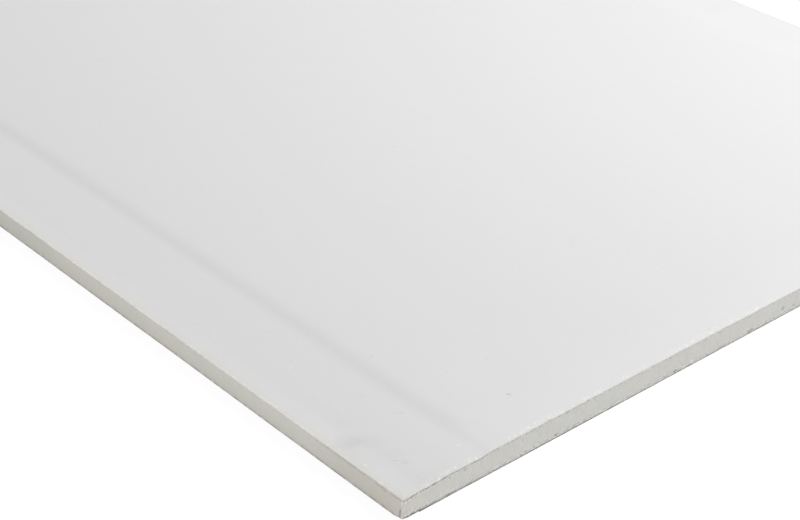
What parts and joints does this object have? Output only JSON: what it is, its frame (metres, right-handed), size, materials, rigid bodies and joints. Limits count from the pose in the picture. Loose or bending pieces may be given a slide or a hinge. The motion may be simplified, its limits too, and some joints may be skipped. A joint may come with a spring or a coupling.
{
  "type": "drywall sheet",
  "caption": "Flat sheet of gypsum between two papers, its face paper folded round tapered long edges, its ends sawn square.",
  "frame": {"origin": "middle of the back, on the plane that the sheet lies on", "axes": "+X along the sheet's length, +Y across its width, +Z out of the face"},
  "size_m": [2, 0.6, 0.0125],
  "materials": {
    "gypsum": "matt, sawn, with small pits",
    "face_paper": "matt, smooth, faintly fibrous",
    "back_paper": "matt, rough recycled fibre"
  },
  "bodies": {
    "root": {"gypsum_core": "gypsum", "face_paper": "face_paper", "back_paper": "back_paper"}
  },
  "joints": []
}
